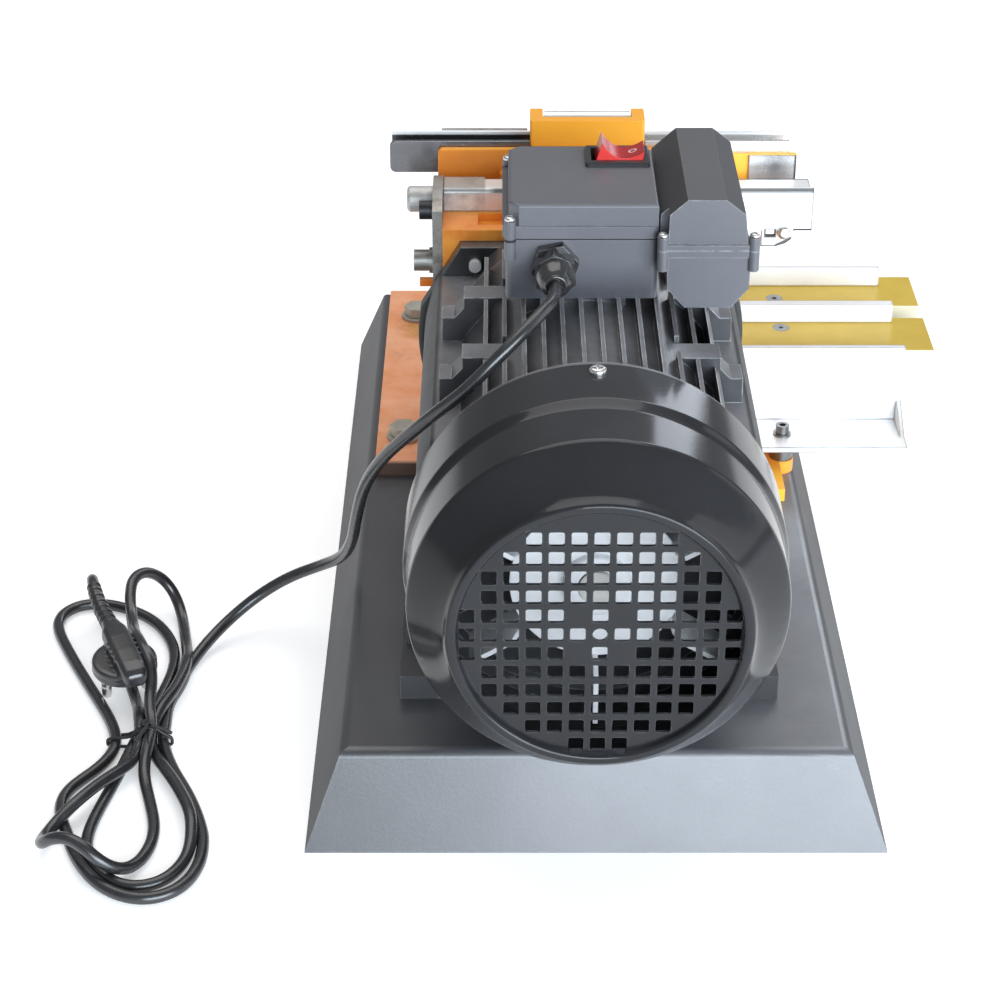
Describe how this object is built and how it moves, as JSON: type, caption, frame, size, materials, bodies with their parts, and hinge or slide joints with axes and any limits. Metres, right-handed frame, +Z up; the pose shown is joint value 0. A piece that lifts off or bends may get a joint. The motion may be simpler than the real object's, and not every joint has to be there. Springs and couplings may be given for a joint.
{
  "type": "bee frame making machine",
  "caption": "Bench machine that notches and grooves wooden bee frame bars: ribbed electric motor with fan cowl on a plinth, cutter head, guide channel, feed troughs and tied power cord.",
  "frame": {"origin": "centre of the base's underside, which is the centre of its bench bolt pattern", "axes": "+Z up; +Y along the motor shaft from the fan cowl to the cutter head; +X towards the feed troughs"},
  "size_m": [0.4502, 0.5371, 0.2597],
  "materials": {
    "base_paint": "satin dark grey paint",
    "bare_sheet": "plain sheet steel",
    "zinc": "zinc plated",
    "motor_black": "satin black paint on ribbed casting",
    "cowl_black": "gloss black paint on spun sheet",
    "orange_paint": "brushed-on orange paint",
    "polished_steel": "ground and polished steel",
    "dark_steel": "black oxide steel",
    "chrome_plate": "bright plated",
    "gold_plate": "gold coloured plate, satin",
    "white_metal": "polished",
    "box_plastic": "dark grey moulded plastic",
    "board_plastic": "brown moulded board",
    "switch_black": "black moulded plastic",
    "switch_red": "red moulded plastic",
    "gasket_rubber": "black rubber sheet",
    "cord_black": "black cable sheath",
    "tie_wire": "black tie",
    "fan_plastic": "pale grey moulded fan",
    "core_steel": "stacked laminations",
    "copper_wire": "varnished copper wire",
    "cap_can": "drawn can",
    "bearing_steel": "bearing steel",
    "cutter_steel": "ground tool steel"
  },
  "bodies": {
    "machine": {"base_shell": "base_paint", "base_bottom_plate": "bare_sheet", "base_nuts": "zinc", "motor_foot_bars": "motor_black", "motor_feet": "motor_black", "motor_foot_bolts": "zinc", "motor_housing": "motor_black", "stator_core": "core_steel", "stator_windings": "copper_wire", "rear_end_shield": "motor_black", "front_flange_shield": "motor_black", "motor_bearings": "bearing_steel", "fan_cowl": "cowl_black", "cowl_screws": "zinc", "terminal_box": "box_plastic", "terminal_gasket": "gasket_rubber", "terminal_lid": "box_plastic", "terminal_board": "board_plastic", "switch_body": "switch_black", "gland_body": "switch_black", "gland_nut": "switch_black", "capacitor_case": "box_plastic", "capacitor_lid": "box_plastic", "cover_screws": "zinc", "run_capacitor": "cap_can", "work_head": "orange_paint", "work_head_bolts": "zinc", "flange_screws": "zinc", "side_plate": "polished_steel", "side_plate_screw": "zinc", "stop_lock_screw": "dark_steel", "front_guide_rail": "polished_steel", "guide_beam": "orange_paint", "wear_plate": "chrome_plate", "guide_channel": "chrome_plate", "backing_strip": "bare_sheet", "hold_down_bracket": "orange_paint", "hook_screw": "zinc", "trough_plates": "gold_plate", "trough_fences": "white_metal", "trough_screws": "zinc", "trough_carrier": "orange_paint", "support_bracket": "white_metal", "bracket_fasteners": "zinc", "outboard_bearing": "bearing_steel", "power_cord": "cord_black", "power_plug": "cord_black", "cord_hank": "cord_black", "cord_tie": "tie_wire"},
    "rotor": {"rotor_shaft": "polished_steel", "rotor_core": "core_steel", "cooling_fan": "fan_plastic", "cutter_arbor": "polished_steel", "notch_cutter": "cutter_steel", "groove_cutter": "cutter_steel", "arbor_spacers": "polished_steel", "arbor_nut": "dark_steel"},
    "rocker": {"switch_rocker": "switch_red"},
    "stop": {"stop_rod": "polished_steel"},
    "roller": {"hold_down_roller": "polished_steel"}
  },
  "joints": [
    {"name": "rotor_spin", "type": "hinge", "parent": "machine", "child": "rotor", "pos_m": [-0.0022, 0, 0.135], "axis": [0, 1, 0], "continuous": true},
    {"name": "rocker_tilt", "type": "hinge", "parent": "machine", "child": "rocker", "pos_m": [0.0108, -0.0648, 0.2461], "axis": [0, -1, 0], "range_deg": [0, 24]},
    {"name": "stop_slide", "type": "slide", "parent": "machine", "child": "stop", "axis": [1, 0, 0], "range_m": [-0.03, 0.012]},
    {"name": "roller_spin", "type": "hinge", "parent": "machine", "child": "roller", "pos_m": [0, 0.057, 0.221], "axis": [1, 0, 0], "continuous": true}
  ]
}
